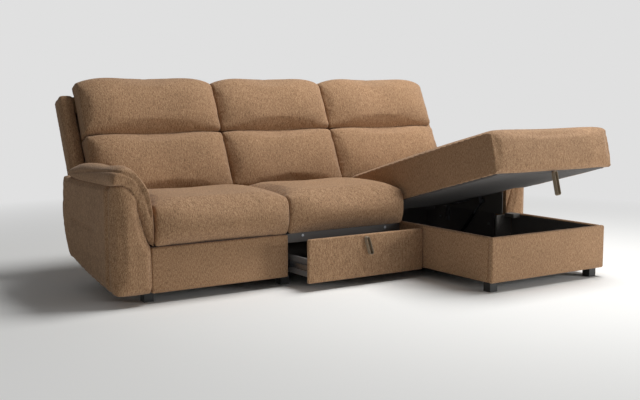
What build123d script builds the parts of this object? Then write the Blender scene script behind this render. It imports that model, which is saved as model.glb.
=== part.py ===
"""Chaise sofa: a three-seat sofa with a pull-out drawer and a storage chaise under a lifting lid."""
import math
import os

from build123d import *

# Driving sizes of the base, in millimetres.
seat_width = 700.0          # one of the three seats
seat_depth = 510.0          # seat front to cushion rear
sofa_front = -125.0         # front plane of the seats
base_top = 255.0            # top of the base frame, under the cushions
foot_height = 47.0
foot_size = 46.0
board = 18.0                # frame boards
rail_depth = 22.0
rail_height = 45.0
kick_thickness = 25.0
beam_depth = 85.0           # rear rail that carries the back posts
beam_height = 30.0
floor_thickness = 12.0

# Driving sizes of the arms and the back.
arm_width = 177.0
arm_front = 25.0            # how far the arm stands in front of the seats
arm_past_seat = 140.0       # rear of the arm, behind the seat cushions
arm_bulge = 4.0             # rear of the arm, past its waist
arm_top = 541.0             # top of the arm under its pad
arm_crest = 622.0           # top of the arm pad
back_lean = 25.0            # degrees from upright
back_clear = 5.0            # back cushions, behind the seat cushions
back_start = 185.0          # foot of the back cushions, above the base
lumbar_height = 334.0
head_height = 300.0
back_foam = 121.0           # thickness of the back cushions
back_side = 405.0           # how far the outer cushions run past the middle seat's edge, on one side
wing_width = 68.0
wing_forward = 26.0         # wing front, ahead of the back of the cushions
shell_height = 587.0        # top of the back shell along the lean
post_width = 45.0
rail_board = 25.0
back_board = 14.0
strap_thickness = 3.0

# Driving sizes of the chaise box, its lid and the lid's mechanism.
chaise_reach = 675.0        # box front, ahead of the seats
chaise_extra = 79.0         # box, wider than a seat
box_wall = 28.0
box_top = 265.0
lid_thickness = 218.0
lid_overhang = 22.0
lid_open = 15.0             # degrees, as shown
lid_board_thickness = 18.0
lid_step = 232.0            # lid widens this far ahead of the origin, clear of the right arm
hinge_setback = 75.0        # hinge line, ahead of the back cushion's face
hinge_height = 390.0
plate = 4.0                 # hinge steel
hinge_boss = 16.0
pin_radius = 4.0
strut_radius = 9.0
rod_radius = 4.0
stud_radius = 4.0
eye_radius = 11.0
barrel_length = 185.0
rod_length = 192.0
stud_play = 3.0             # slack of the rod's eye on the lid stud

# Driving sizes of the drawer.
drawer_open = 175.0         # as shown
drawer_length = 500.0
drawer_side_height = 87.0
drawer_side = 12.0
drawer_front_thickness = 20.0
drawer_floor = 6.0
drawer_bottom = 62.0
runner_height = 27.0
runner_steel = 1.5
runner_space = 13.0
runner_length = 480.0
runner_z = 92.0

# Clearances and fasteners.
seam_gap = 1.0              # each cushion stops this far short of its seam line
rest_gap = 0.5              # soft pieces and closed lids on their seats
run_gap = 3.0               # moving panels beside fixed ones
slide_gap = 0.5             # inner runner in its channel
pin_fit = 0.05              # running fit of a pin in its hole
screw_fit = 0.2
bolt_radius = 4.0
bolt_head = 7.0
bolt_head_height = 5.0
screw_radius = 2.5
screw_head = 6.0
screw_head_height = 3.0

# Places worked out from the driving sizes.
half_base = 1.5 * seat_width + board
chaise_width = seat_width + chaise_extra
half_seats = 1.5 * seat_width
half_seat = 0.5 * seat_width
arm_outer = half_base + arm_width
rail_front = sofa_front + kick_thickness
rail_rear = rail_front + rail_depth
seat_rear = sofa_front + seat_depth
face_y = seat_rear + back_clear
face_z = base_top + back_start
lean = math.radians(back_lean)
arm_face = sofa_front - arm_front
arm_rear = seat_rear + arm_past_seat
arm_length = arm_rear - arm_face
hinge_y = face_y - hinge_setback
box_front = sofa_front - chaise_reach
box_left = half_seat
box_right = half_seat + chaise_width
lid_angle = math.radians(lid_open)
beam_front = face_y + (back_foam + strap_thickness) / math.cos(lean) - (face_z - base_top) * math.tan(lean)
beam_rear = beam_front + beam_depth
floor_top = foot_height + floor_thickness
back_half = half_seat + back_side + half_seat

os.makedirs("parts", exist_ok=True)


def save(builder, node):
    """Label a finished piece and write it under its node's name."""
    builder.part.label = node
    export_step(builder.part, f"parts/{node}.step")


def block(x0, x1, y0, y1, z0, z1, mode=Mode.ADD):
    """A box between limits, in the active part's own frame."""
    with Locations(((x0 + x1) / 2, (y0 + y1) / 2, (z0 + z1) / 2)):
        Box(x1 - x0, y1 - y0, z1 - z0, mode=mode)


def rod(start, direction, radius, length, mode=Mode.ADD):
    """A round bar from a point along a direction."""
    with Locations(Plane(origin=start, z_dir=direction)):
        Cylinder(radius, length, align=(Align.CENTER, Align.CENTER, Align.MIN), mode=mode)


def lean_plane(x):
    """Cross-section plane of the back at x: local x runs up the lean, local y points forward."""
    up = (0, math.sin(lean), math.cos(lean))
    return Plane(origin=(x, face_y, face_z), x_dir=up, z_dir=(1, 0, 0))


def lid_section_plane(x):
    """Cross-section plane of the lid at x, in the closed lid's own y and z about the hinge."""
    along = (0, math.cos(lid_angle), -math.sin(lid_angle))
    return Plane(origin=(x, hinge_y, hinge_z), x_dir=along, z_dir=(1, 0, 0))


hinge_z = hinge_height
back_frame = Plane(
    origin=(0, face_y, face_z), x_dir=(1, 0, 0), z_dir=(0, -math.cos(lean), math.sin(lean))
)
lid_frame = Plane(
    origin=(0, hinge_y, hinge_z), x_dir=(1, 0, 0), z_dir=(0, math.sin(lid_angle), math.cos(lid_angle))
)

# Feet: black blocks under the board ends, each held by one screw from below.
foot_front_inset = 75.0
foot_rear_inset = 30.0
box_foot_inset = 50.0
foot_rows = (sofa_front + foot_front_inset, beam_front - foot_rear_inset)
foot_places = [
    (side * column, row)
    for column in (half_seats + board / 2, half_seat - board / 2)
    for side in (-1, 1)
    for row in foot_rows
]
foot_places += [(x, box_front + box_foot_inset) for x in (box_left + 40, box_right - 51)]
screw_recess = 8.0
screw_bite = 10.0

with BuildPart() as feet:
    for x, y in foot_places:
        with Locations((x, y, foot_height / 2)):
            Box(foot_size, foot_size, foot_height)
        rod((x, y, 0), (0, 0, 1), screw_head + screw_fit, screw_recess, Mode.SUBTRACT)
        rod((x, y, 0), (0, 0, 1), screw_radius + screw_fit, foot_height, Mode.SUBTRACT)
save(feet, "feet")

with BuildPart() as foot_screws:
    for x, y in foot_places:
        rod((x, y, screw_recess), (0, 0, -1), screw_head, screw_head_height)
        rod((x, y, screw_recess), (0, 0, 1), screw_radius, foot_height - screw_recess + screw_bite)
save(foot_screws, "foot_screws")


def screw_holes():
    """Bores for the foot screws in the boards that stand on the feet."""
    for x, y in foot_places:
        rod((x, y, 0), (0, 0, 1), screw_radius + screw_fit, foot_height + screw_bite, Mode.SUBTRACT)


# Base frame: four upright dividers between a front rail and a rear rail.
arm_bolt_height = 190.0
arm_bolt_front = 110.0
arm_bolt_rear = 58.0
arm_bolt_places = [
    (arm_face + arm_bolt_front, arm_bolt_height),
    (beam_front - arm_bolt_rear, arm_bolt_height),
]
arm_bolt_bite = 30.0
arm_bolt_length = board + arm_bolt_bite
link_bolt_places = [(rail_rear + 33, 110.0), (rail_rear + 33, 200.0)]
link_bolt_length = box_wall + board - 2
rail_bolt_places = [(-254.0, 241.0), (254.0, 241.0)]
divider_places = (-half_seats - board, -half_seat, half_seat - board, half_seats)
with BuildPart() as dividers:
    for x in divider_places:
        block(x, x + board, rail_rear, beam_front, foot_height, base_top)
        block(x, x + board, beam_front, beam_rear - board, foot_height, base_top - beam_height)
    screw_holes()
    for side in (-1, 1):
        for y, z in arm_bolt_places:
            start = (side * half_seats, y, z)
            rod(start, (side, 0, 0), bolt_radius + screw_fit, arm_bolt_length, Mode.SUBTRACT)
    for y, z in link_bolt_places:
        start = (box_left + box_wall, y, z)
        rod(start, (-1, 0, 0), bolt_radius + screw_fit, link_bolt_length, Mode.SUBTRACT)
save(dividers, "base_dividers")

with BuildPart() as front_rail:
    block(-half_base, box_left, rail_front, rail_rear, base_top - rail_height, base_top)
    for x, z in rail_bolt_places:
        rod((x, rail_front, z), (0, 1, 0), bolt_radius + screw_fit, rail_depth, Mode.SUBTRACT)
save(front_rail, "front_seat_rail")

with BuildPart() as rail_bolts:
    for x, z in rail_bolt_places:
        rod((x, rail_front, z), (0, -1, 0), bolt_head, bolt_head_height / 2)
        rod((x, rail_front, z), (0, 1, 0), bolt_radius, rail_depth)
save(rail_bolts, "rail_bolts")

with BuildPart() as rear_rail:
    block(-half_base, half_base, beam_front, beam_rear, base_top - beam_height, base_top)
    block(-half_base, half_base, beam_rear - board, beam_rear, foot_height, base_top)
save(rear_rail, "rear_rail")

with BuildPart() as kick_panel:
    block(-half_base + run_gap, -half_seat - seam_gap, sofa_front, rail_front, foot_height, base_top)
    fillet(kick_panel.edges().group_by(Axis.Y)[0], 5)
save(kick_panel, "kick_panel")

cover_sheet = 2.0
with BuildPart() as dust_cover:
    block(-half_seats, -half_seat, rail_rear, beam_front, foot_height, foot_height + cover_sheet)
save(dust_cover, "dust_cover")

# Zigzag seat springs: wires from the front rail to the rear rail under two seats.
spring_wire = 1.9
spring_swing = 22.0
spring_pitch = 30.0
spring_lead = 33.0
springs_per_seat = 4


def zigzag(x):
    """One spring wire along y at x, straight at both ends."""
    height = base_top - 2 * spring_wire
    turns = int((beam_front - rail_rear - 2 * spring_lead) // spring_pitch)
    lead = (beam_front - rail_rear - turns * spring_pitch) / 2
    points = [(x, rail_rear, height), (x, rail_rear + lead / 2, height)]
    points += [
        (x + spring_swing * (-1) ** turn, rail_rear + lead + turn * spring_pitch, height)
        for turn in range(turns + 1)
    ]
    points += [(x, beam_front - lead / 2, height), (x, beam_front, height)]
    with BuildLine() as path:
        FilletPolyline(*points, radius=spring_pitch / 4)
    with BuildSketch(Plane(origin=path.line @ 0, z_dir=path.line % 0)) as wire:
        Circle(spring_wire)
    return wire.sketch, path.line


for node, centre in (("seat_springs_left", -seat_width), ("seat_springs_centre", 0.0)):
    with BuildPart() as springs:
        for number in range(springs_per_seat):
            offset = (number + 0.5) / springs_per_seat - 0.5
            wire, path = zigzag(centre + offset * seat_width)
            sweep(sections=wire, path=path)
    save(springs, node)

# Seat cushions: foam blocks with a rounded nose, a crowned top and drawn-in ends.
seat_foam = 196.0
seat_top = base_top + seat_foam
seat_nose = 40.0
seat_shoulder = 45.0
seat_draw = 12.0
crown = 10.0
end_run = 45.0


def slab_section(plane, front, rear, low, top, swell, rise, shoulder):
    """Side outline of a flat cushion: flat below, round nose, crowned top, round rear edge."""
    edge = (1 - math.sqrt(0.5)) * shoulder
    with BuildSketch(plane) as outline:
        with BuildLine():
            Line((front, low), (rear, low))
            Line((rear, low), (rear, top - shoulder))
            ThreePointArc((rear, top - shoulder), (rear - edge, top - edge), (rear - shoulder, top))
            ThreePointArc((rear - shoulder, top), ((front + rear) / 2, top + rise), (front + shoulder / 2, top))
            ThreePointArc(
                (front + shoulder / 2, top),
                (front - swell * 0.25, top - edge),
                (front - swell * 0.7, top - shoulder),
            )
            ThreePointArc(
                (front - swell * 0.7, top - shoulder), (front - swell, (low + top) / 2), (front, low)
            )
        make_face()
    return outline.sketch.face()


def slab_sections(plane_at, x0, x1, front, rear, low, top, nose, shoulder, end_draw):
    """Outlines across a flat cushion, drawn in at both ends and fullest in the middle."""
    places = ((x0, 1.0), (x0 + end_run, 0.25), ((x0 + x1) / 2, 0.0), (x1 - end_run, 0.25), (x1, 1.0))
    return [
        slab_section(
            plane_at(x),
            front,
            rear,
            low,
            top - end_draw * draw,
            nose * (1 - 0.5 * draw),
            crown * (1 - 0.7 * draw),
            shoulder,
        )
        for x, draw in places
    ]


for node, centre in (("seat_cushion_left", -seat_width), ("seat_cushion_centre", 0.0)):
    ends = (centre - half_seat + seam_gap, centre + half_seat - seam_gap)
    form = (seat_nose, seat_shoulder, seat_draw)
    with BuildPart() as seat:
        loft(slab_sections(Plane.YZ.offset, *ends, sofa_front, seat_rear, base_top, seat_top, *form))
    save(seat, node)

# Back frame: posts on the rear rail, rails across them, straps and an upholstered rear panel.
strap_back = -back_foam - rest_gap - strap_thickness
rail_back = strap_back - rail_board
post_back = rail_back - post_width
shell_back = post_back - back_board
post_places = [-half_base + post_width / 2, -half_seat, half_seat, half_base - post_width / 2]
post_top = shell_height - 12
wing_inner = back_half + rest_gap
rail_width = 80.0
rail_rows = (
    (0.0, half_base - rest_gap),
    (340.0, wing_inner),
    (post_top - rail_width / 2, wing_inner),
)

with BuildPart() as back_posts:
    for x in post_places:
        with BuildSketch(lean_plane(x - post_width / 2)):
            with Locations((post_top / 2 - seat_rear / 2, (post_back + rail_back) / 2)):
                Rectangle(post_top + seat_rear, post_width)
        extrude(amount=post_width)
    split(bisect_by=Plane.XY.offset(base_top), keep=Keep.TOP)
save(back_posts, "back_posts")

with BuildPart(back_frame) as back_rails:
    for row, half in rail_rows:
        block(-half, half, row - rail_width / 2, row + rail_width / 2, rail_back, strap_back)
save(back_rails, "back_rails")

strap_width = 60.0
straps_per_seat = 3
with BuildPart(back_frame) as back_straps:
    for number in range(3 * straps_per_seat):
        x = (number + 0.5) * seat_width / straps_per_seat - half_seats
        low = -rail_width / 2
        block(x - strap_width / 2, x + strap_width / 2, low, post_top, strap_back, strap_back + strap_thickness)
save(back_straps, "back_straps")

with BuildPart() as back_panel:
    with BuildSketch(lean_plane(-wing_inner - wing_width)):
        with Locations(((shell_height - seat_rear) / 2, (shell_back + post_back) / 2)):
            Rectangle(shell_height + seat_rear, back_board)
    extrude(amount=2 * (wing_inner + wing_width))
    with BuildSketch(lean_plane(-wing_inner)):
        with Locations(((post_top + shell_height) / 2, (post_back + strap_back) / 2)):
            Rectangle(shell_height - post_top, strap_back - post_back)
    extrude(amount=2 * wing_inner)
    split(bisect_by=Plane.XY.offset(base_top), keep=Keep.TOP)
save(back_panel, "back_panel")

wing_front = wing_forward - back_foam
wing_foot = arm_rear + arm_bulge + run_gap


def on_lean(along, forward):
    """The y and z of a point on the back, along the lean and ahead of the cushion face."""
    return (
        face_y + along * math.sin(lean) - forward * math.cos(lean),
        face_z + along * math.cos(lean) + forward * math.sin(lean),
    )


def lean_height(y, forward):
    """Height where the line at this distance ahead of the face meets y."""
    return face_z + (y - face_y + forward / math.cos(lean)) / math.tan(lean)


wing_round = 40.0
for node, side in (("left_wing", -1), ("right_wing", 1)):
    with BuildPart() as wing:
        with BuildSketch(Plane.YZ.offset(side * wing_inner)):
            with BuildLine():
                Polyline(
                    (wing_foot, lean_height(wing_foot, wing_front)),
                    on_lean(shell_height, wing_front),
                    on_lean(shell_height, post_back),
                    (wing_foot, lean_height(wing_foot, post_back)),
                    close=True,
                )
            make_face()
        extrude(amount=side * wing_width)
        top_edges = wing.edges().filter_by(Axis.X).group_by(Axis.Z)[-1]
        fillet(top_edges, wing_round / 2)
    save(wing, node)

# Back cushions: a lumbar pad and a head pad for each seat, pinched where they meet.
pinch = 22.0
lumbar_corner = 34.0
head_corner = 52.0
face_swell = 14.0
back_draw = 18.0
free_draw = 9.0
notch_clear = 24.0          # lumbar cushion, above the arm
notch_top = arm_top + notch_clear


def pad_section(plane, low, high, front, top_corner, swell):
    """Outline of a back pad: flat behind, swollen in front, with round front corners."""
    bend = 1 - math.sqrt(0.5)
    low_turn = (low + bend * lumbar_corner, front - bend * pinch)
    high_turn = (high - bend * top_corner, front - bend * top_corner)
    with BuildSketch(plane) as outline:
        with BuildLine():
            Line((high, -back_foam), (low, -back_foam))
            Line((low, -back_foam), (low, front - pinch))
            ThreePointArc((low, front - pinch), low_turn, (low + lumbar_corner, front))
            ThreePointArc(
                (low + lumbar_corner, front), ((low + high) / 2, front + swell), (high - top_corner, front)
            )
            ThreePointArc((high - top_corner, front), high_turn, (high, front - top_corner))
            Line((high, front - top_corner), (high, -back_foam))
        make_face()
    return outline.sketch.face()


def pad_sections(x0, x1, low, high, top_corner, low_draw, high_draw):
    """Outlines across a back pad, drawn in at both ends and at its free edge."""
    places = ((x0, 1.0), (x0 + end_run, 0.2), ((x0 + x1) / 2, 0.0), (x1 - end_run, 0.2), (x1, 1.0))
    return [
        pad_section(
            lean_plane(x),
            low + low_draw * draw,
            high - high_draw * draw,
            -back_draw * draw,
            top_corner,
            face_swell * (1 - 0.6 * draw),
        )
        for x, draw in places
    ]


seat_ends = {
    "left": (-back_half, -half_seat - seam_gap),
    "centre": (-half_seat + seam_gap, half_seat - seam_gap),
    "right": (half_seat + seam_gap, back_half),
}
for seat_name, (x0, x1) in seat_ends.items():
    with BuildPart() as lumbar:
        loft(pad_sections(x0, x1, 0.0, lumbar_height - seam_gap, lumbar_corner, free_draw, 0.0))
        for side in (-1, 1):
            edges = sorted((side * half_seats, side * (back_half + wing_width)))
            reach = (face_y - back_foam, face_y + lumbar_height + back_foam)
            block(*edges, *reach, base_top, notch_top, Mode.SUBTRACT)
    save(lumbar, f"{seat_name}_lumbar_cushion")
    with BuildPart() as head:
        head_low = lumbar_height + seam_gap
        loft(pad_sections(x0, x1, head_low, lumbar_height + head_height, head_corner, 0.0, free_draw))
    save(head, f"{seat_name}_head_cushion")

# Arms: timber brackets bolted to the base, a foam body and a soft pad that falls down the inner edge.
arm_tip = 262.0
arm_sweep = 101.0           # rise of the arm's lower edge towards the rear
member = 40.0
member_low = 160.0
member_high = 220.0
post_reach = 157.0
arm_round = 45.0

with BuildPart() as left_arm_frame:
    for y, z in arm_bolt_places:
        block(-half_base - post_reach, -half_base, y - member / 2, y + member / 2, member_low, member_high)
        outer = -half_base - post_reach
        block(outer, outer + member, y - member / 2, y + member / 2, member_high, arm_top - member)
        start = (-half_seats, y, z)
        rod(start, (-1, 0, 0), bolt_radius + screw_fit, arm_bolt_length, Mode.SUBTRACT)
save(left_arm_frame, "left_arm_frame")

with BuildPart() as right_arm_frame:
    mirror(left_arm_frame.part, about=Plane.YZ)
save(right_arm_frame, "right_arm_frame")

with BuildPart() as arm_bolts:
    for side in (-1, 1):
        for y, z in arm_bolt_places:
            rod((side * half_seats, y, z), (-side, 0, 0), bolt_head, bolt_head_height)
            rod((side * half_seats, y, z), (side, 0, 0), bolt_radius, arm_bolt_length)
save(arm_bolts, "arm_bolts")


# Points of the pad in cross-section: how far each lies outside the seats, and its height.
seam_tip = 5.0
seam_low = (37.0, arm_tip + 95.0)
seam_knee = (63.0, arm_top - 81.0)
seam_high = (88.0, arm_top - 24.0)
roll_mid = (187.0, arm_top + 38.0)
roll_top = (166.0, arm_crest - 14.0)
crest_mid = (126.0, arm_crest + 3.0)
crest_end = (80.0, arm_crest - 18.0)
shoulder_mid = (40.0, arm_top + 25.0)
shoulder_low = (8.0, arm_top - 26.0)
inner_mid = (-8.0, arm_top - 141.0)
inner_low = -7.0


def outside(point, shift=0.0):
    """A pad point in x and z, shifted down and outwards."""
    return (-half_base - point[0] - shift, point[1] - shift)


def pad_seam(shift):
    """Line between arm body and pad in x and z, from the tip over to the outer side."""
    tip = outside((seam_tip, arm_tip), shift)
    knee = outside(seam_knee, shift)
    lower = ThreePointArc(tip, outside(seam_low, shift), knee)
    upper = ThreePointArc(knee, outside(seam_high, shift), outside((arm_width, arm_top), shift))
    return lower, upper


waist_drop = 190.0          # fullest point of the arm's rear edge, below its top
heel_drop = 300.0
heel_in = 34.0
heel_reach = 90.0           # lower rear corner, ahead of the rear edge
sole_rise = 5.0
sole_sag = 33.0
nape_in = 45.0
nape_drop = 90.0
with BuildPart() as left_arm_body:
    with BuildSketch(Plane.YZ.offset(-arm_outer)):
        with BuildLine():
            low_front = (arm_face, foot_height + sole_rise)
            low_mid = (arm_face + 0.43 * arm_length, foot_height + sole_rise + sole_sag)
            low_rear = (arm_rear - heel_reach, foot_height + sole_rise + arm_sweep)
            waist = (arm_rear, arm_top - waist_drop)
            nape = (arm_rear - nape_in, arm_crest)
            ThreePointArc(low_front, low_mid, low_rear)
            ThreePointArc(low_rear, (arm_rear - heel_in, arm_top - heel_drop), waist)
            ThreePointArc(waist, (arm_rear - arm_bulge, arm_top - nape_drop), nape)
            Line(nape, (arm_face, arm_crest))
            Line((arm_face, arm_crest), low_front)
        make_face()
    extrude(amount=arm_width)
    with BuildSketch(Plane.XZ.offset(-arm_rear)):
        with BuildLine():
            pad_seam(rest_gap)
            Polyline(
                (-arm_outer - rest_gap, arm_top - rest_gap),
                (-arm_outer - rest_gap, arm_crest + run_gap),
                (-half_base + run_gap, arm_crest + run_gap),
                (-half_base + run_gap, arm_tip - rest_gap),
                outside((seam_tip, arm_tip), rest_gap),
            )
        make_face()
    extrude(amount=arm_length, mode=Mode.SUBTRACT)
    front_corner = left_arm_body.edges().filter_by(Axis.Z).sort_by_distance((-arm_outer, arm_face, 300))[0]
    fillet(front_corner, arm_round)
    add(left_arm_frame.part, mode=Mode.SUBTRACT)
    for y, z in arm_bolt_places:
        start = (-half_seats, y, z)
        rod(start, (-1, 0, 0), bolt_radius + screw_fit, arm_bolt_length, Mode.SUBTRACT)
save(left_arm_body, "left_arm_body")

with BuildPart() as right_arm_body:
    mirror(left_arm_body.part, about=Plane.YZ)
save(right_arm_body, "right_arm_body")


def arm_pad_section(y, drop, draw):
    """Cross-section of the arm pad at y: its crest drops and its skin draws in."""

    def skin(point, share):
        inward = draw if point[0] < seam_knee[0] else -draw
        return outside((point[0] + inward, point[1] - share * drop - draw))

    with BuildSketch(Plane.XZ.offset(-y)) as outline:
        with BuildLine():
            lower, upper = pad_seam(0.0)
            roll = ThreePointArc(upper @ 1, skin(roll_mid, 0.4), skin(roll_top, 1.0))
            crest = ThreePointArc(roll @ 1, skin(crest_mid, 1.0), skin(crest_end, 1.0))
            fall = ThreePointArc(crest @ 1, skin(shoulder_mid, 0.8), skin(shoulder_low, 0.4))
            inner = ThreePointArc(fall @ 1, skin(inner_mid, 0.0), outside((inner_low + draw, arm_tip)))
            Line(inner @ 1, lower @ 0)
        make_face()
    return outline.sketch.face()


pad_ahead = 8.0
pad_past_seat = 50.0
pad_turn = 28.0             # run of the pad's rounded front
pad_taper = 95.0            # run of its falling rear end
pad_front = arm_face - pad_ahead
pad_rear = seat_rear + pad_past_seat
pad_places = (
    (pad_front, 8.0, 8.0),
    (pad_front + pad_turn, 2.0, 2.0),
    (pad_front + 3 * pad_turn, 0.0, 0.0),
    (pad_rear - 3 * pad_taper, 6.0, 0.0),
    (pad_rear - pad_taper, 22.0, 0.0),
    (pad_rear - pad_taper / 2, 32.0, 2.0),
    (pad_rear, 50.0, 8.0),
)
with BuildPart() as left_arm_pad:
    loft([arm_pad_section(*place) for place in pad_places])
save(left_arm_pad, "left_arm_pad")

with BuildPart() as right_arm_pad:
    mirror(left_arm_pad.part, about=Plane.YZ)
save(right_arm_pad, "right_arm_pad")

# Chaise box: upholstered panels round a floor, bolted to the drawer's right divider.
panel_round = 6.0
box_inner_left = box_left + box_wall
box_inner_right = box_right - box_wall
box_inner_front = box_front + box_wall
link_end = rail_rear + 68

with BuildPart() as box_front_panel:
    block(box_left, box_right, box_front, box_inner_front, foot_height, box_top)
    fillet(box_front_panel.edges().filter_by(Axis.Z).group_by(Axis.Y)[0], 2 * panel_round)
save(box_front_panel, "box_front_panel")

with BuildPart() as box_left_panel:
    block(box_left, box_inner_left, box_inner_front, link_end, foot_height, box_top)
    for y, z in link_bolt_places:
        start = (box_inner_left, y, z)
        rod(start, (-1, 0, 0), bolt_radius + screw_fit, link_bolt_length, Mode.SUBTRACT)
save(box_left_panel, "box_left_panel")

with BuildPart() as box_right_panel:
    block(box_inner_right, box_right, box_inner_front, arm_face, foot_height, box_top)
save(box_right_panel, "box_right_panel")

with BuildPart() as link_bolts:
    for y, z in link_bolt_places:
        rod((box_inner_left, y, z), (1, 0, 0), bolt_head, bolt_head_height)
        rod((box_inner_left, y, z), (-1, 0, 0), bolt_radius, link_bolt_length)
save(link_bolts, "link_bolts")

with BuildPart() as box_floor:
    block(box_inner_left, box_inner_right, box_inner_front, arm_face, foot_height, floor_top)
    block(box_inner_left, half_seats, arm_face, beam_front, foot_height, floor_top)
    block(half_seat, box_inner_left, link_end, beam_front, foot_height, floor_top)
    screw_holes()
save(box_floor, "box_floor")

# Its rear corner is closed by boards, and lined sheets close the well beside the arm and under the back.
infill_reach = 60.0
infill_left = half_seats - infill_reach
well_sheet = 3.0
well_inset = 8.0
well_rear = hinge_y - hinge_boss - run_gap
well_side_top = base_top + 145.0
well_back = 10.0
well_clear = 14.0
with BuildPart() as box_infill:
    block(infill_left, box_inner_right, arm_face - floor_thickness, arm_face, floor_top, base_top)
    cap_low = base_top - floor_thickness
    block(half_seats, box_inner_right, -lid_step, arm_face - floor_thickness, cap_low, box_top)
    block(half_seats, half_seats + well_sheet, arm_face + well_inset, well_rear, base_top, well_side_top)
    back_edge = face_y + well_back
    well_ends = (half_seat - board / 2, half_seats + well_sheet)
    block(*well_ends, back_edge, back_edge + well_sheet, base_top, face_z - well_clear)
save(box_infill, "box_infill")

# Lid hinge: steel brackets on the storage walls, a pin in each, and plates under the lid board.
bracket_low = 170.0
bracket_screws = (190.0, 232.0)
lid_low = box_top + rest_gap - hinge_z
lid_edge = box_left + 2 * seam_gap
lid_right = box_right + lid_overhang
lid_front = box_front - lid_overhang - hinge_y
lid_rear = 30.0
lid_top = lid_low + lid_thickness - crown
inset = 20.0
board_left = lid_edge + inset
board_right = box_right - inset
narrow_right = half_seats - run_gap
board_top = lid_low + lid_board_thickness
flange_front = -165.0
flange_rear = -70.0
flange_reach = 45.0
hinge_sides = ((half_seat, 1), (half_seats, -1))

with BuildPart() as hinge_brackets:
    for wall, way in hinge_sides:
        with BuildSketch(Plane.YZ.offset(wall)):
            with Locations((hinge_y, hinge_z)):
                Circle(hinge_boss)
            with Locations((hinge_y, (bracket_low + hinge_z) / 2)):
                Rectangle(2 * hinge_boss, hinge_z - bracket_low)
        extrude(amount=way * plate)
        rod((wall, hinge_y, hinge_z), (way, 0, 0), pin_radius + pin_fit, plate, Mode.SUBTRACT)
        for z in bracket_screws:
            rod((wall, hinge_y, z), (way, 0, 0), screw_radius + screw_fit, plate, Mode.SUBTRACT)
save(hinge_brackets, "hinge_brackets")

with BuildPart() as hinge_pins:
    for wall, way in hinge_sides:
        rod((wall, hinge_y, hinge_z), (way, 0, 0), pin_radius, 2 * plate + seam_gap + 2)
save(hinge_pins, "hinge_pins")

with BuildPart() as hinge_screws:
    for wall, way in hinge_sides:
        for z in bracket_screws:
            rod((wall + way * plate, hinge_y, z), (way, 0, 0), screw_head, screw_head_height)
            rod((wall, hinge_y, z), (way, 0, 0), screw_radius, plate)
save(hinge_screws, "hinge_screws")

with BuildPart() as lid_plates:
    for wall, way in hinge_sides:
        near = wall + way * (plate + seam_gap)
        with BuildSketch(lid_section_plane(near)):
            Circle(hinge_boss)
            with BuildLine():
                Polyline(
                    (flange_front, lid_low - plate),
                    (flange_front, lid_low + 20),
                    (-hinge_boss / 2, hinge_boss * 0.8),
                    (hinge_boss / 2, -hinge_boss * 0.8),
                    (flange_rear, lid_low - plate),
                    close=True,
                )
            make_face()
        extrude(amount=way * plate)
        far = near + way * flange_reach
        low = lid_section_plane(min(near, far))
        with BuildSketch(low):
            with Locations(((flange_front + flange_rear) / 2, lid_low - plate / 2)):
                Rectangle(flange_rear - flange_front, plate)
        extrude(amount=flange_reach)
        rod((near, hinge_y, hinge_z), (way, 0, 0), pin_radius + pin_fit, plate, Mode.SUBTRACT)
save(lid_plates, "lid_plates")

# Lid: a board with a lining below and one large cushion wrapped over it.
with BuildPart() as lid_board:
    with BuildSketch(lid_frame.offset(lid_low)):
        with BuildLine():
            Polyline(
                (board_left, lid_front + inset),
                (board_right, lid_front + inset),
                (board_right, -lid_step - inset - hinge_y),
                (narrow_right - inset, -lid_step - inset - hinge_y),
                (narrow_right - inset, lid_rear - inset),
                (board_left, lid_rear - inset),
                close=True,
            )
        make_face()
    extrude(amount=lid_board_thickness)
save(lid_board, "lid_board")

lid_nose = 14.0
lid_shoulder = 27.0
lid_draw = 4.0
slot_width = 2 * plate + 2 * seam_gap + 4
with BuildPart() as lid_cushion:
    lid_ends = (lid_edge, lid_right, lid_front, lid_rear, lid_low, lid_top)
    loft(slab_sections(lid_section_plane, *lid_ends, lid_nose, lid_shoulder, lid_draw))
with BuildPart(lid_frame) as lid_cuts:
    block(narrow_right, lid_right + 9, -lid_step - hinge_y, lid_rear + 9, lid_low - 9, lid_top + 50)
    for wall, way in hinge_sides:
        sides = sorted((wall - way * 9, wall + way * slot_width))
        block(*sides, flange_front - 5, lid_rear + 9, lid_low - 9, hinge_boss + 8)
with BuildPart() as lid_foam:
    add(lid_cushion.part)
    add(lid_cuts.part, mode=Mode.SUBTRACT)
    add(lid_board.part, mode=Mode.SUBTRACT)
save(lid_foam, "lid_cushion")

lining = 1.5
lining_edge = 6.0
lining_side = plate + seam_gap + flange_reach + lining_edge
with BuildPart(lid_frame) as lid_lining:
    front_part = (box_inner_front - hinge_y + lining_edge, -lid_step - inset - hinge_y)
    block(
        box_inner_left + lining_edge, box_inner_right - lining_edge, *front_part, lid_low - lining, lid_low
    )
    block(
        half_seat + lining_side,
        half_seats - lining_side,
        front_part[1],
        lid_rear - inset - lining_edge,
        lid_low - lining,
        lid_low,
    )
save(lid_lining, "lid_lining")

# Gas struts: a cylinder on a wall stud and a rod whose eye sits loosely on a stud under the lid.
strut_base = (hinge_y - 120.0, 100.0)
lid_stud = (-280.0, -150.0)
strut_inset = 14.0
tab = 3.0
stud_at = (
    hinge_y + lid_stud[0] * math.cos(lid_angle) + lid_stud[1] * math.sin(lid_angle),
    hinge_z - lid_stud[0] * math.sin(lid_angle) + lid_stud[1] * math.cos(lid_angle),
)
strut_length = math.dist(strut_base, stud_at)
strut_way = (0, (stud_at[0] - strut_base[0]) / strut_length, (stud_at[1] - strut_base[1]) / strut_length)
eye_width = 10.0
bore_gap = 0.06


def along_strut(x, distance):
    """A point on a strut's axis, measured from its wall stud."""
    return (x, strut_base[0] + strut_way[1] * distance, strut_base[1] + strut_way[2] * distance)


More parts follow.
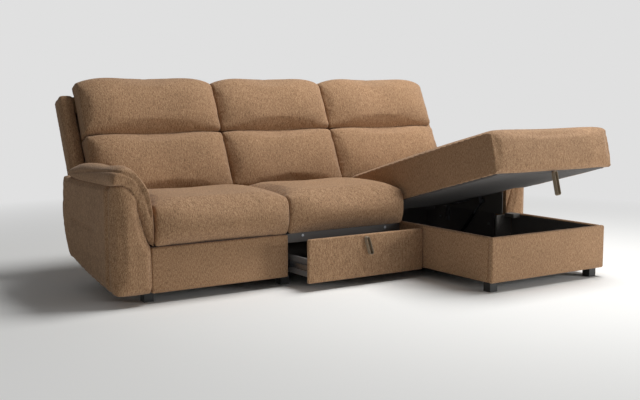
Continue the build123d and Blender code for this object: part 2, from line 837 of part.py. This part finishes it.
with BuildPart() as strut_studs:
    for wall, way in hinge_sides:
        rod((wall, *strut_base), (way, 0, 0), stud_radius, strut_inset + eye_width / 2 + 2)
save(strut_studs, "strut_studs")

with BuildPart() as lid_studs:
    for wall, way in hinge_sides:
        tab_near = wall + way * (strut_inset + strut_radius + tab)
        with BuildSketch(lid_section_plane(min(tab_near, tab_near + way * tab))):
            with Locations((lid_stud[0], (lid_stud[1] - eye_radius + lid_low) / 2)):
                Rectangle(2 * eye_radius, lid_low - lid_stud[1] + eye_radius)
        extrude(amount=tab)
        stud_length = strut_radius + tab + eye_width / 2 + 2
        rod((tab_near, *stud_at), (-way, 0, 0), stud_radius, stud_length)
save(lid_studs, "lid_studs")

for side_name, (wall, way) in zip(("left", "right"), hinge_sides):
    x = wall + way * strut_inset
    with BuildPart() as cylinder:
        rod((x - eye_width / 2, *strut_base), (1, 0, 0), eye_radius, eye_width)
        rod(along_strut(x, eye_radius - 2), strut_way, strut_radius - 3, 8)
        rod(along_strut(x, eye_radius + 4), strut_way, strut_radius, barrel_length - eye_radius - 4)
        rod((x - eye_width / 2, *strut_base), (1, 0, 0), stud_radius + pin_fit, eye_width, Mode.SUBTRACT)
        bore_start = strut_radius + eye_radius - 2
        rod(along_strut(x, bore_start), strut_way, rod_radius + bore_gap, barrel_length, Mode.SUBTRACT)
    save(cylinder, f"{side_name}_strut_cylinder")
    with BuildPart() as strut_rod:
        rod(along_strut(x, strut_length - rod_length), strut_way, rod_radius, rod_length - eye_radius + 2)
        rod((x - eye_width / 2, *stud_at), (1, 0, 0), eye_radius, eye_width)
        play = stud_radius + stud_play
        rod((x - eye_width / 2, *stud_at), (1, 0, 0), play, eye_width, Mode.SUBTRACT)
    save(strut_rod, f"{side_name}_strut_rod")

# Drawer: an upholstered front on a wooden box that runs on side channels.
bay = half_seat - board
drawer_half = bay - runner_space
front_half = half_seat - run_gap
drawer_y = sofa_front - drawer_open
drawer_box = drawer_y + drawer_front_thickness
drawer_rear = drawer_box + drawer_length
drawer_sides_top = drawer_bottom + drawer_side_height

with BuildPart() as drawer_front:
    block(-front_half, front_half, drawer_y, drawer_box, foot_height - 7, base_top - run_gap)
    fillet(drawer_front.edges().group_by(Axis.Y)[0], 5)
save(drawer_front, "drawer_front")

for node, x in (("drawer_left_side", -drawer_half), ("drawer_right_side", drawer_half - drawer_side)):
    with BuildPart() as side_board:
        block(x, x + drawer_side, drawer_box, drawer_rear, drawer_bottom, drawer_sides_top)
    save(side_board, node)

drawer_inner = drawer_half - drawer_side
with BuildPart() as drawer_back:
    block(-drawer_inner, drawer_inner, drawer_rear - drawer_side, drawer_rear, drawer_bottom, drawer_sides_top)
save(drawer_back, "drawer_back")

with BuildPart() as drawer_tray:
    tray_rear = drawer_rear - drawer_side
    block(-drawer_inner, drawer_inner, drawer_box, tray_rear, drawer_bottom, drawer_bottom + drawer_floor)
save(drawer_tray, "drawer_tray")

runner_rear = rail_rear + runner_length
channel_reach = runner_space - runner_steel - 1.5


def channel(web, way, reach, low, high, y0, y1):
    """A steel channel: a web at one side and a flange above and below it."""
    block(*sorted((web, web + way * runner_steel)), y0, y1, low, high)
    for z in (low, high - runner_steel):
        block(*sorted((web, web + way * reach)), y0, y1, z, z + runner_steel)


with BuildPart() as drawer_runners:
    outer_low = runner_z - slide_gap - runner_steel
    outer_high = runner_z + runner_height + slide_gap + runner_steel
    for side in (-1, 1):
        channel(side * bay, -side, channel_reach, outer_low, outer_high, rail_rear, runner_rear)
save(drawer_runners, "drawer_runners")

with BuildPart() as drawer_slides:
    slide_front = drawer_box + run_gap
    slide_end = slide_front + runner_length - run_gap
    slide_high = runner_z + runner_height
    for side in (-1, 1):
        channel(side * drawer_half, side, channel_reach, runner_z, slide_high, slide_front, slide_end)
save(drawer_slides, "drawer_slides")

# Pulls: folded fabric loops on the drawer front and under the lid's front edge.
webbing = 2.5
loop_breadth = 22.0
pull_width = 22.0
drawer_pull_length = 95.0
drawer_pull_x = -18.0
drawer_pull_tilt = 18.0     # degrees, as shown
drawer_pull_drop = 10.0     # sewn end, below the drawer front's top
lid_pull_length = 120.0


def loop(plane, length):
    """A flat closed loop of webbing, hanging from the plane's origin and seen from its open side."""
    with BuildSketch(plane) as outline:
        with Locations((0, -length / 2)):
            SlotOverall(length, loop_breadth, rotation=90)
            SlotOverall(length - 2 * webbing, loop_breadth - 2 * webbing, rotation=90, mode=Mode.SUBTRACT)
    return extrude(outline.sketch, amount=pull_width, mode=Mode.PRIVATE)


pull_top = base_top - run_gap - drawer_pull_drop
tilt = math.radians(drawer_pull_tilt)
with BuildPart() as drawer_pull:
    sewn = (drawer_pull_x, drawer_y - rest_gap, pull_top)
    add(loop(Plane(sewn, x_dir=(math.cos(tilt), 0, math.sin(tilt)), z_dir=(0, -1, 0)), drawer_pull_length))
save(drawer_pull, "drawer_pull")

lid_pull_x = (box_left + box_right) / 2
with BuildPart() as lid_pull:
    hem = lid_section_plane(lid_pull_x)
    sewn = hem.from_local_coords((box_front - hinge_y - run_gap, lid_low - rest_gap, 0))
    lid_strap_plane = Plane(sewn, x_dir=(1, 0, 0), z_dir=-hem.x_dir)
    add(loop(lid_strap_plane, lid_pull_length))
save(lid_pull, "lid_pull")

print("lid hinge", round(hinge_y, 2), round(hinge_z, 2))
print("strut base", strut_base, "stud", [round(value, 2) for value in stud_at], round(strut_length, 2))
print("strut way", [round(value, 5) for value in strut_way])
turn = loop_breadth / 2
drawer_pivot = (drawer_pull_x + turn * math.sin(tilt), drawer_y - rest_gap - pull_width / 2)
print("drawer pull pivot", [round(value, 2) for value in (*drawer_pivot, pull_top - turn * math.cos(tilt))])
lid_pivot = lid_strap_plane.from_local_coords((0, -turn, pull_width / 2))
print("lid pull pivot", round(lid_pivot.X, 2), round(lid_pivot.Y, 2), round(lid_pivot.Z, 2))
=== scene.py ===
import math

import bpy
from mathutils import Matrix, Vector


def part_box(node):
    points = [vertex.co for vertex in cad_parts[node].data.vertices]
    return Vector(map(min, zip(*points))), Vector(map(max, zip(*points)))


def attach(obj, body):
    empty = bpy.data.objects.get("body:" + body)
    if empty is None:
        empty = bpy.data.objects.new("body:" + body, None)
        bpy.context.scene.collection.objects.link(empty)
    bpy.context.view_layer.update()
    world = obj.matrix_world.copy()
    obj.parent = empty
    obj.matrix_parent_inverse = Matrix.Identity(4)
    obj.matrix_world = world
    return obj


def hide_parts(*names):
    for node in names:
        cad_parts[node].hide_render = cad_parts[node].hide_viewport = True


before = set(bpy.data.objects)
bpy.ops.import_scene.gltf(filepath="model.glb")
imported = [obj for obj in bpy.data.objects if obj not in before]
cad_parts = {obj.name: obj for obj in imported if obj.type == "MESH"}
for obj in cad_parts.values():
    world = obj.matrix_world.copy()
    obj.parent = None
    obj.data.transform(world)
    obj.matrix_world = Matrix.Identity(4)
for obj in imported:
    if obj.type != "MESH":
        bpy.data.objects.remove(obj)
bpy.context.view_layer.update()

bpy.context.scene.view_settings.view_transform = "Standard"

# Camera: stands to the left of the sofa's front and a little below head height,
# looking slightly down, so that the arm is near and the chaise lies to the right.
camera_place = (-2.792, -4.075, 0.961)
camera_pitch = math.radians(90 - 6.6)
camera_turn = math.radians(-33.6)
focal_pixels = 969.1
frame_pixels = 640
sensor_width = 36.0
view_depth = 100
bpy.ops.object.camera_add(location=camera_place, rotation=(camera_pitch, 0, camera_turn))
camera = bpy.context.object
camera.data.sensor_width = sensor_width
camera.data.lens = focal_pixels / frame_pixels * sensor_width
camera.data.clip_end = view_depth
bpy.context.scene.camera = camera

# Studio: a seamless pale floor under the sofa, soft daylight from the right and a weak fill.
# The world shows the backdrop's pale grey to the camera, to glossy and to clear surfaces only.
# The floor fades into the same grey at a distance.
backdrop_grey = "#e0e0e0"
floor_grey = "#f6f6f4"
fill_strength = 0.14
floor_size = 60
fade_start = 1.5
fade_end = 4.2


def linear(code):
    """Turn an sRGB hex colour into the linear colour that shaders take."""
    parts = [int(code[i:i + 2], 16) / 255 for i in (1, 3, 5)]
    return tuple(c / 12.92 if c <= 0.04045 else ((c + 0.055) / 1.055) ** 2.4 for c in parts) + (1.0,)


def add(tree, kind, inputs=None, **settings):
    """Add one shader node, set it up and link what feeds it."""
    made = tree.nodes.new("ShaderNode" + kind)
    for name, value in settings.items():
        setattr(made, name, value)
    for socket, value in (inputs or {}).items():
        if isinstance(value, bpy.types.NodeSocket):
            tree.links.new(value, made.inputs[socket])
        else:
            made.inputs[socket].default_value = value
    return made


def deselect():
    """Leave edit mode and clear the selection before a new piece is begun."""
    if bpy.context.mode != "OBJECT":
        bpy.ops.object.mode_set(mode="OBJECT")
    bpy.ops.object.select_all(action="DESELECT")


def lamp(name, place, target, size, power):
    """A soft square lamp aimed at a point."""
    bpy.ops.object.light_add(type="AREA", location=place)
    light = bpy.context.object
    light.name = name
    light.data.size = size
    light.data.energy = power
    light.rotation_euler = (Vector(target) - Vector(place)).to_track_quat("-Z", "Y").to_euler()


world = bpy.data.worlds.new("studio_air")
bpy.context.scene.world = world
world.use_nodes = True
air = world.node_tree
air.nodes.clear()
ray = add(air, "LightPath").outputs
seen = add(air, "Math", {0: ray["Is Camera Ray"], 1: ray["Is Glossy Ray"]}, operation="MAXIMUM")
seen = add(air, "Math", {0: seen.outputs[0], 1: ray["Is Transmission Ray"]}, operation="MAXIMUM")
fill = add(air, "Background", {"Color": linear("#ffffff"), "Strength": fill_strength})
shown = add(air, "Background", {"Color": linear(backdrop_grey), "Strength": 1.0})
mixed = add(air, "MixShader", {0: seen.outputs[0], 1: fill.outputs[0], 2: shown.outputs[0]})
add(air, "OutputWorld", {"Surface": mixed.outputs[0]})

deselect()
bpy.ops.mesh.primitive_plane_add(size=floor_size, location=(0, 0, 0))
floor = bpy.context.object
floor.name = "studio_floor"
floor_paint = bpy.data.materials.new("matt_studio_floor")
floor_paint.use_nodes = True
tree = floor_paint.node_tree
tree.nodes.clear()
lit = add(tree, "BsdfDiffuse", {"Color": linear(floor_grey)})
plain = add(tree, "Emission", {"Color": linear(backdrop_grey), "Strength": 1.0})
spot = add(tree, "NewGeometry")
away = add(tree, "VectorMath", {0: spot.outputs["Position"]}, operation="LENGTH")
fade = add(tree, "MapRange", {"Value": away.outputs["Value"], "From Min": fade_start, "From Max": fade_end})
ray = add(tree, "LightPath").outputs
blend = add(tree, "Math", {0: fade.outputs[0], 1: ray["Is Camera Ray"]}, operation="MULTIPLY")
mixed = add(tree, "MixShader", {0: blend.outputs[0], 1: lit.outputs[0], 2: plain.outputs[0]})
add(tree, "OutputMaterial", {"Surface": mixed.outputs[0]})
floor.data.materials.append(floor_paint)

lamp("top_softbox", place=(1.6, -0.5, 4.2), target=(0.5, -0.3, 0.2), size=2.0, power=178)
lamp("side_window", place=(2.9, -3.7, 0.9), target=(0.9, -0.9, 0.35), size=1.2, power=62)

# Upholstery cloth: a heavy slub chenille in camel, woven from a brown and a sand yarn.
# The uneven yarn leaves short streaks down the cloth and pale flecks across it; it is drawn
# a little coarser than the real yarn so that it shows at this distance.
yarn_width = 0.0027
slub_length = 0.014
fleck_size = 0.0032
fleck_share = 0.42
patch_size = 0.14
pile_depth = 0.0022
cloth_dark = "#684f38"
cloth_mid = "#a27e5e"
cloth_light = "#c6a580"


def chenille(name):
    """Slub chenille: streaks follow the cloth on faces that look forward, up or sideways."""
    cloth = bpy.data.materials.new(name)
    cloth.use_nodes = True
    tree = cloth.node_tree
    shader = tree.nodes["Principled BSDF"]
    place = add(tree, "TexCoord").outputs["Object"]
    facing = add(tree, "NewGeometry").outputs["Normal"]
    sideways = add(tree, "SeparateXYZ", {0: facing}).outputs["X"]
    sideways = add(tree, "Math", {0: sideways}, operation="ABSOLUTE").outputs[0]
    sideways = add(tree, "MapRange", {"Value": sideways, "From Min": 0.6, "From Max": 0.8}).outputs[0]
    yarns = []
    for scale in (
        (1 / yarn_width, 1 / slub_length, 1 / slub_length),
        (1 / slub_length, 1 / yarn_width, 1 / slub_length),
    ):
        run = add(tree, "Mapping", {"Vector": place, "Scale": scale}).outputs[0]
        yarn = add(tree, "TexNoise", {"Vector": run, "Scale": 1.0, "Detail": 3.0, "Roughness": 0.65})
        yarns.append(yarn.outputs["Fac"])
    streak = add(tree, "Mix", {0: sideways, 2: yarns[0], 3: yarns[1]}).outputs[0]
    fleck = add(tree, "TexNoise", {"Vector": place, "Scale": 1 / fleck_size, "Detail": 2.0}).outputs["Fac"]
    weave = add(tree, "Mix", {0: fleck_share, 2: streak, 3: fleck}).outputs[0]
    tone = add(tree, "ValToRGB", {"Fac": weave})
    ramp = tone.color_ramp
    ramp.elements[0].position = 0.34
    ramp.elements[0].color = linear(cloth_dark)
    ramp.elements[1].position = 0.66
    ramp.elements[1].color = linear(cloth_light)
    middle = ramp.elements.new(0.5)
    middle.color = linear(cloth_mid)
    patch = add(tree, "TexNoise", {"Vector": place, "Scale": 1 / patch_size, "Detail": 2.0}).outputs["Fac"]
    patch = add(tree, "MapRange", {"Value": patch, "To Min": 0.86, "To Max": 1.12}).outputs[0]
    shade = add(tree, "VectorMath", {0: tone.outputs["Color"], "Scale": patch}, operation="SCALE").outputs[0]
    bump = add(tree, "Bump", {"Height": weave, "Strength": 0.55, "Distance": pile_depth})
    tree.links.new(shade, shader.inputs["Base Color"])
    tree.links.new(bump.outputs[0], shader.inputs["Normal"])
    shader.inputs["Roughness"].default_value = 0.93
    shader.inputs["Specular IOR Level"].default_value = 0.15
    shader.inputs["Sheen Weight"].default_value = 0.12
    shader.inputs["Sheen Roughness"].default_value = 0.6
    return cloth


upholstery = chenille("camel_slub_chenille")

# Seat cushions: two foam blocks in cloth covers, round-nosed and crowned, resting on the springs.
# Each cover is remeshed from its solid and swelled by its filling, and stays flat at its two ends,
# where the cushions meet each other, the arm and the chaise.
weld_gap = 0.0001
swell_steps = 12
swell_quality = 3


def take(piece):
    """Make one object the only selected and active one."""
    deselect()
    piece.select_set(True)
    bpy.context.view_layer.objects.active = piece


def dress(piece, cloth):
    """Give a piece one material and smooth shading."""
    piece.data.materials.clear()
    piece.data.materials.append(cloth)
    piece.data.polygons.foreach_set("material_index", [0] * len(piece.data.polygons))
    for face in piece.data.polygons:
        face.use_smooth = True


def swell(cover, pressure):
    """Let the filling press a cover outwards, as a short cloth simulation without gravity."""
    cloth = cover.modifiers.new("filling", "CLOTH")
    cloth.settings.quality = swell_quality
    cloth.settings.use_pressure = True
    cloth.settings.uniform_pressure_force = pressure
    cloth.settings.effector_weights.gravity = 0
    cloth.collision_settings.use_collision = False
    for step in range(1, swell_steps + 1):
        bpy.context.scene.frame_set(step)
    bpy.ops.object.modifier_apply(modifier=cloth.name)
    bpy.context.scene.frame_set(1)


def stuffed(node, name, voxel, cap, pressure, soften=0, hold=None):
    """Sew a cover from a solid and swell it by no more than cap, and not where hold is true."""
    deselect()
    cover = bpy.data.objects.new(name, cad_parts[node].data.copy())
    bpy.context.scene.collection.objects.link(cover)
    take(cover)
    bpy.ops.object.mode_set(mode="EDIT")
    bpy.ops.mesh.select_all(action="SELECT")
    bpy.ops.mesh.remove_doubles(threshold=weld_gap)
    bpy.ops.mesh.normals_make_consistent(inside=False)
    bpy.ops.object.mode_set(mode="OBJECT")
    skin = cover.modifiers.new("even_skin", "REMESH")
    skin.mode = "VOXEL"
    skin.voxel_size = voxel
    bpy.ops.object.modifier_apply(modifier=skin.name)
    if soften:
        foam = cover.modifiers.new("foam_edge", "SMOOTH")
        foam.factor = 0.5
        foam.iterations = soften
        bpy.ops.object.modifier_apply(modifier=foam.name)
    cover.data.update()
    flat = [vertex.co.copy() for vertex in cover.data.vertices]
    facing = [vertex.normal.copy() for vertex in cover.data.vertices]
    if pressure:
        swell(cover, pressure)
    for vertex, start, normal in zip(cover.data.vertices, flat, facing):
        move = vertex.co - start
        if hold and hold(normal):
            vertex.co = start
        elif move.length > cap:
            vertex.co = start + move * (cap / move.length)
    return cover


def keep_within(piece, low, high):
    """Press a soft piece flat where it meets its neighbours: limits in x, y and z, or None."""
    for vertex in piece.data.vertices:
        for axis in range(3):
            if low[axis] is not None:
                vertex.co[axis] = max(vertex.co[axis], low[axis])
            if high[axis] is not None:
                vertex.co[axis] = min(vertex.co[axis], high[axis])


def smooth_skin(piece):
    """One subdivision to finish a soft cover."""
    take(piece)
    finer = piece.modifiers.new("finer", "SUBSURF")
    finer.levels = 1
    finer.render_levels = 1
    bpy.ops.object.modifier_apply(modifier=finer.name)


def finish_soft(piece, body, node):
    """Cloth and body of a soft piece that stands for a CAD solid, whose solid is hidden."""
    dress(piece, upholstery)
    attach(piece, body)
    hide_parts(node)


for node in ("seat_cushion_left", "seat_cushion_centre"):
    low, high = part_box(node)
    seat = stuffed(node, node + "_cover", voxel=0.010, cap=0.014, pressure=2.5)
    keep_within(seat, (low[0], None, low[2]), (high[0], None, None))
    smooth_skin(seat)
    finish_soft(seat, "sofa", node)

# Back cushions: a head pad and a lumbar pad for each seat, meeting along a pinched line and
# resting on the straps behind. They are cloth covers with a loose fill that makes their faces
# swell, fullest at the middle of the head pad's top.
crown_rise = 0.014


def crown(pad, low, high):
    """Lift the middle of a head pad's top, where the fill stands fullest."""
    middle = (low[0] + high[0]) / 2
    half = (high[0] - low[0]) / 2
    for vertex in pad.data.vertices:
        up = 2 * (vertex.co.z - low[2]) / (high[2] - low[2]) - 1
        if up > 0:
            across = (vertex.co.x - middle) / half
            vertex.co.z += crown_rise * min(up, 1.0) * (1 - across ** 2)


for seat_name in ("left", "centre", "right"):
    for part in ("lumbar", "head"):
        node = f"{seat_name}_{part}_cushion"
        low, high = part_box(node)
        pad = stuffed(node, node + "_cover", voxel=0.010, cap=0.013, pressure=2.5)
        keep_within(pad, (low[0], None, None), (high[0], None, None))
        if part == "head":
            crown(pad, low, high)
        smooth_skin(pad)
        finish_soft(pad, "sofa", node)

# Wings: the padded ends of the back shell, foam with the cloth pulled tight over it.
# Their edges are softened before the cover is swelled.
for node in ("left_wing", "right_wing"):
    wing = stuffed(node, node + "_cover", voxel=0.009, cap=0.007, pressure=3.0, soften=9)
    smooth_skin(wing)
    finish_soft(wing, "sofa", node)

# Rear panel: a board that closes the back from behind, wrapped in the same cloth.
# It is pulled flat, so its cover is not swelled.
rear = stuffed("back_panel", "back_panel_cover", voxel=0.011, cap=0.003, pressure=0.0, soften=1)
smooth_skin(rear)
finish_soft(rear, "sofa", "back_panel")

# Arms: foam over a timber bracket, with a cover pulled tight on the outside, and a soft pad
# sewn on top that falls down the inner front edge to a point. The cover has an upright crease
# and a soft tuck on its outer side, and a stitched edge beside the kick panel.
side_reach = 0.03
crease_y = -0.072
crease_reach = 0.04
crease_depth = 0.012
crease_width = 0.015
tuck_front = 0.12
tuck_rear = 0.33
tuck_start = (0.08, 0.327)
tuck_slope = 0.02 / 0.336
tuck_fade = 0.3
tuck_depth = 0.006
tuck_width = 0.014
inner_stitch = 1.0745
stitch_front = -0.12
stitch_top = 0.27
stitch_depth = 0.010
stitch_width = 0.005
pad_front = -0.115
pad_outer = 1.215
pad_seam = 0.005
pad_inward = -0.2
pad_line_side = ((-0.165, 0.606), (-0.082, 0.603), (0.130, 0.587), (0.362, 0.565), (0.45, 0.55))
pad_line_front = (
    (1.27, 0.612),
    (1.209, 0.599),
    (1.156, 0.575),
    (1.122, 0.531),
    (1.098, 0.473),
    (1.078, 0.40),
)


def sew(piece, distance, depth, width):
    """Pull the cover in along a seam: distance gives how far a point lies from the stitches."""
    piece.data.update()
    normals = [vertex.normal.copy() for vertex in piece.data.vertices]
    for vertex, normal in zip(piece.data.vertices, normals):
        away = distance(vertex.co)
        if away is not None and abs(away) < 3 * width:
            vertex.co -= normal * depth * math.exp(-(away / width) ** 2)


def crease(co):
    """Distance from the upright crease on the outer side of an arm."""
    return co.y - crease_y if abs(co.x - outer) < crease_reach else None


def tuck(co):
    """Distance from the soft tuck across the outer side of an arm, which fades at its two ends."""
    if abs(co.x - outer) >= side_reach:
        return None
    height = tuck_start[1] + tuck_slope * (co.y - tuck_start[0])
    beyond = max(0.0, tuck_front - co.y, co.y - tuck_rear)
    return math.hypot(co.z - height, tuck_fade * beyond)


def front_stitch(co):
    """Distance from the stitched edge between an arm's front and the kick panel."""
    return abs(co.x) - inner_stitch if co.y < stitch_front and co.z < stitch_top else None


def path_gap(point, path):
    """Distance from a flat point to a line of straight pieces."""
    nearest = 1.0
    for start, end in zip(path, path[1:]):
        start, end = Vector(start), Vector(end)
        run = end - start
        share = max(0.0, min(1.0, (point - start).dot(run) / run.length_squared))
        nearest = min(nearest, (point - start - run * share).length)
    return nearest


def pad_stitches(co):
    """Distance from the stitched line that runs round an arm pad's outer side and front."""
    if co.y < pad_front:
        return path_gap(Vector((abs(co.x), co.z)), pad_line_front)
    if abs(co.x) > pad_outer:
        return path_gap(Vector((co.y, co.z)), pad_line_side)
    return None


def pad_inner_side(normal):
    """True where a pad faces the seats or the lid, which leave it no room to swell."""
    return normal.x * way < pad_inward


for side, way in (("left", -1), ("right", 1)):
    node = f"{side}_arm_body"
    body = stuffed(node, node + "_cover", voxel=0.009, cap=0.007, pressure=2.0, soften=6)
    smooth_skin(body)
    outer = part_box(node)[0 if way < 0 else 1][0]
    sew(body, crease, crease_depth, crease_width)
    sew(body, tuck, tuck_depth, tuck_width)
    sew(body, front_stitch, stitch_depth, stitch_width)
    finish_soft(body, "sofa", node)
    node = f"{side}_arm_pad"
    pad = stuffed(node, node + "_cover", voxel=0.007, cap=0.014, pressure=4.5, hold=pad_inner_side)
    smooth_skin(pad)
    sew(pad, pad_stitches, pad_seam, pad_seam)
    finish_soft(pad, "sofa", node)

# Chaise lid: one large foam block over a board, in a cloth cover, raised on its hinge at rest.
# Its sides stay flat beside the seat and the arm, and its underside stays at its solid's depth,
# so that it closes on the box without pressing into it.
node = "lid_cushion"
lid_tilt = math.radians(15)
lid_sideways = 0.3


def lid_side(normal):
    """True on the two sides of the lid, which have no room to swell."""
    return abs(normal.x) > lid_sideways


lid = stuffed(node, "lid_cushion_cover", voxel=0.011, cap=0.007, pressure=1.5, hold=lid_side)
under = Vector((0, -math.sin(lid_tilt), -math.cos(lid_tilt)))
lid_depth = max(vertex.co.dot(under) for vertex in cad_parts[node].data.vertices)
for vertex in lid.data.vertices:
    past = vertex.co.dot(under) - lid_depth
    if past > 0:
        vertex.co -= under * past
smooth_skin(lid)
finish_soft(lid, "lid", node)

# Upholstered boards: the kick panel, the drawer front and the chaise box are boards with a thin
# layer of foam, wrapped in the same cloth, with rounded edges.
board_edge = 0.009
drawer_edge = 0.008
edge_steps = 5


def wrapped_board(node, body, edge):
    """A board with rounded edges, wrapped in cloth, in place of its CAD solid."""
    low, high = (Vector(corner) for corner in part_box(node))
    deselect()
    bpy.ops.mesh.primitive_cube_add(size=1, location=(low + high) / 2, scale=high - low)
    panel = bpy.context.object
    panel.name = node + "_cover"
    bpy.ops.object.transform_apply(location=True, rotation=True, scale=True)
    bpy.ops.object.mode_set(mode="EDIT")
    bpy.ops.mesh.select_all(action="SELECT")
    bpy.ops.mesh.bevel(offset=edge, segments=edge_steps, profile=0.5)
    bpy.ops.object.mode_set(mode="OBJECT")
    finish_soft(panel, body, node)


for node in ("kick_panel", "box_front_panel", "box_left_panel", "box_right_panel"):
    wrapped_board(node, "sofa", board_edge)
wrapped_board("drawer_front", "drawer", drawer_edge)

# Linings: dark grey spunbond cloth inside the chaise box, a little below its rim, and over the
# boards that show inside the sofa, under the lid, behind the back and in the drawer.
# The filler beside the right arm is lined in a lighter copy of the same grey, painted light that stands for
# the light falling on it.
lining_sheet = 0.0015
lining_grain = (0.002, 0.002, 0.002)
rim_drop = 0.007
rear_drop = 0.016
gap = 0.0004
smooth_limit = math.radians(35)


def plain_finish(name, dark, light, grain, roughness, metallic=0.0):
    """A hard or matt finish with a fine mottled grain of the given size."""
    finish = bpy.data.materials.new(name)
    finish.use_nodes = True
    tree = finish.node_tree
    shader = tree.nodes["Principled BSDF"]
    place = add(tree, "TexCoord").outputs["Object"]
    run = add(tree, "Mapping", {"Vector": place, "Scale": tuple(1 / size for size in grain)}).outputs[0]
    noise = add(tree, "TexNoise", {"Vector": run, "Scale": 1.0, "Detail": 4.0}).outputs["Fac"]
    tone = add(tree, "ValToRGB", {"Fac": noise})
    tone.color_ramp.elements[0].position = 0.3
    tone.color_ramp.elements[0].color = linear(dark)
    tone.color_ramp.elements[1].position = 0.7
    tone.color_ramp.elements[1].color = linear(light)
    relief = add(tree, "Bump", {"Height": noise, "Strength": 0.1, "Distance": 0.0005})
    tree.links.new(tone.outputs["Color"], shader.inputs["Base Color"])
    tree.links.new(relief.outputs[0], shader.inputs["Normal"])
    shader.inputs["Roughness"].default_value = roughness
    shader.inputs["Metallic"].default_value = metallic
    return finish


def coat(finish, *nodes):
    """Give CAD pieces their finish, smooth on curves and sharp at edges."""
    for node in nodes:
        dress(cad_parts[node], finish)
        take(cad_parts[node])
        bpy.ops.object.shade_smooth_by_angle(angle=smooth_limit)


floor_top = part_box("box_floor")[1][2] + gap
front_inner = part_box("box_front_panel")[1][1] + gap
left_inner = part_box("box_left_panel")[1][0] + gap
right_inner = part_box("box_right_panel")[0][0] - gap
rear_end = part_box("box_right_panel")[1][1] - rear_drop
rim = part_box("box_right_panel")[1][2] - rim_drop
sheets = []
for low, high in (
    ((left_inner, front_inner, floor_top), (left_inner + lining_sheet, rear_end, rim)),
    ((right_inner - lining_sheet, front_inner, floor_top), (right_inner, rear_end, rim)),
    ((left_inner, front_inner, floor_top), (right_inner, front_inner + lining_sheet, rim)),
):
    low, high = Vector(low), Vector(high)
    deselect()
    bpy.ops.mesh.primitive_cube_add(size=1, location=(low + high) / 2, scale=high - low)
    bpy.ops.object.transform_apply(location=True, rotation=True, scale=True)
    sheets.append(bpy.context.object)
take(sheets[0])
for sheet in sheets:
    sheet.select_set(True)
bpy.ops.object.join()
box_lining = bpy.context.object
box_lining.name = "box_lining"
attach(box_lining, "sofa")

lining_cloth = plain_finish("dark_spunbond_lining", "#5b5958", "#6f6c6a", lining_grain, 0.95)
# A lighter copy of the dark lining: painted light for the filler, where light falls into the box.
lining_painted_lit = plain_finish("spunbond_lining_painted_lit", "#6c6a67", "#807d79", lining_grain, 0.95)
box_lining.data.materials.append(lining_cloth)
coat(lining_cloth, "base_dividers", "front_seat_rail", "rear_rail", "dust_cover", "box_floor")
coat(lining_cloth, "lid_board", "lid_lining")
coat(lining_cloth, "drawer_left_side", "drawer_right_side", "drawer_back", "drawer_tray")
coat(lining_painted_lit, "box_infill")

# Pull loops: folded bands of sand-coloured cotton webbing, sewn into the seams of the lid
# and the drawer front, each turning about its sewn end.
strap_cloth = plain_finish("sand_cotton_webbing", "#7d6f5b", "#a39480", (0.0015, 0.003, 0.0015), 0.9)
for node, body in (("lid_pull", "lid_strap"), ("drawer_pull", "drawer_strap")):
    strap = stuffed(node, node + "_webbing", voxel=0.0011, cap=0.0, pressure=0.0)
    dress(strap, strap_cloth)
    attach(strap, body)
    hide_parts(node)

# Hidden frame: planed pine posts, rails and arm brackets, bolted together inside the padding,
# with woven elastic straps stretched across the back behind the cushions.
timber = plain_finish("planed_pine", "#a98559", "#c9a87a", (0.004, 0.12, 0.12), 0.7)
elastic = plain_finish("woven_elastic", "#1c1c1e", "#2c2c2e", (0.003, 0.0015, 0.003), 0.9)
coat(timber, "back_posts", "back_rails", "left_arm_frame", "right_arm_frame")
coat(elastic, "back_straps")

# Feet: moulded blocks of black plastic, screwed up into the base.
# Only their fronts show below the upholstery.
foot_plastic = plain_finish("moulded_black_plastic", "#0d0d0d", "#161616", (0.001, 0.001, 0.001), 0.45)
coat(foot_plastic, "feet")

# Steel fittings: zinc-plated screws, bolts, hinges, drawer runners and seat springs, and two gas
# struts that hold the lid, each a black painted cylinder with a bright rod.
zinc = plain_finish("zinc_plated_steel", "#8d9096", "#b5b8bd", (0.003, 0.003, 0.003), 0.35, 1.0)
strut_paint = plain_finish("black_painted_steel", "#101010", "#1c1c1c", (0.002, 0.002, 0.002), 0.4)
coat(zinc, "foot_screws", "rail_bolts", "arm_bolts", "link_bolts")
coat(zinc, "hinge_pins", "hinge_screws", "hinge_brackets", "lid_plates", "lid_studs", "strut_studs")
coat(zinc, "drawer_runners", "drawer_slides", "seat_springs_left", "seat_springs_centre")
coat(zinc, "left_strut_rod", "right_strut_rod")
coat(strut_paint, "left_strut_cylinder", "right_strut_cylinder")
